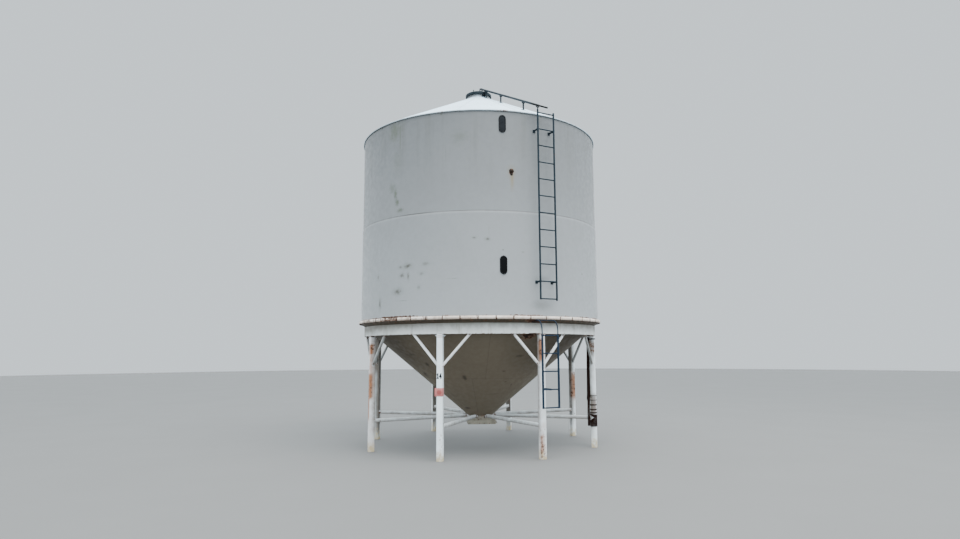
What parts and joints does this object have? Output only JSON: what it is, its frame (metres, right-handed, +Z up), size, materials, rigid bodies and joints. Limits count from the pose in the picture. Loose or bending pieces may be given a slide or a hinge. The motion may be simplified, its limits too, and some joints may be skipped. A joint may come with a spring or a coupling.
{
  "type": "grain silo",
  "caption": "Smooth-wall steel grain silo with a hopper bottom on braced legs, with a hinged filler lid, slide-gate outlet and ladders.",
  "frame": {"origin": "on the ground, on the silo's vertical axis", "axes": "+Z up; -Y towards the first leg; the ladder stands between +X and -Y"},
  "size_m": [4.9386, 4.9364, 7.4902],
  "materials": {
    "barrel_paint": "chalky white paint, weathered",
    "roof_paint": "white paint, satin",
    "leg_paint": "white paint with rust",
    "beam_paint": "white paint, dusty",
    "ledge_paint": "cream paint, rust at the seams",
    "hopper_paint": "grey-white paint, dusty",
    "outlet_paint": "worn paint, dusty",
    "dark_steel": "dark paint, worn",
    "upper_ladder_paint": "dark teal paint, worn",
    "lower_ladder_paint": "dark blue paint, worn",
    "lid_paint": "dark paint, faded",
    "sight_glass": "dark dusty pane in a metal frame",
    "grip_rubber": "matt rubber sleeve",
    "cable_sheath": "black rubber sheath, dusty",
    "bare_steel": "dull, dusty"
  },
  "bodies": {
    "silo": {"wall_lower_1": "barrel_paint", "wall_lower_2": "barrel_paint", "wall_lower_3": "barrel_paint", "wall_upper_1": "barrel_paint", "wall_upper_2": "barrel_paint", "wall_upper_3": "barrel_paint", "roof_cone": "roof_paint", "roof_collar": "roof_paint", "lid_hinge_bracket": "dark_steel", "rod_guide_1": "dark_steel", "rod_guide_2": "dark_steel", "rod_guide_3": "dark_steel", "rod_guide_4": "dark_steel", "hopper_cone": "hopper_paint", "ring_beam": "beam_paint", "ledge_ring": "ledge_paint", "leg_1": "leg_paint", "leg_2": "leg_paint", "leg_3": "leg_paint", "leg_4": "leg_paint", "leg_5": "leg_paint", "leg_6": "leg_paint", "leg_7": "leg_paint", "leg_8": "leg_paint", "spoke_1": "leg_paint", "spoke_2": "leg_paint", "spoke_3": "leg_paint", "spoke_4": "leg_paint", "spoke_5": "leg_paint", "spoke_6": "leg_paint", "spoke_7": "leg_paint", "spoke_8": "leg_paint", "outlet_neck": "outlet_paint", "gate_frame": "outlet_paint", "upper_ladder": "upper_ladder_paint", "lower_ladder": "lower_ladder_paint", "sight_window_lower": "sight_glass", "sight_window_upper": "sight_glass", "leg_cable": "leg_paint"},
    "lid": {"roof_lid": "lid_paint"},
    "rod": {"lid_rod": "dark_steel", "rod_grip": "grip_rubber"},
    "gate": {"gate_plate": "bare_steel"}
  },
  "joints": [
    {"name": "lid_hinge", "type": "hinge", "parent": "silo", "child": "lid", "pos_m": [0.2025, -0.22808, 7.33], "axis": [0.7478, 0.6639, 0], "range_deg": [0, 100]},
    {"name": "rod_pivot", "type": "hinge", "parent": "lid", "child": "rod", "pos_m": [0.08299, -0.09348, 7.475], "axis": [0.7478, 0.6639, 0], "range_deg": [-97, 0]},
    {"name": "gate_slide", "type": "slide", "parent": "silo", "child": "gate", "axis": [0.9239, 0.3827, 0], "range_m": [0, 0.43]}
  ],
  "couplings": [
    {"joint": "rod_pivot", "follows": "lid_hinge", "ratio": -0.962}
  ]
}
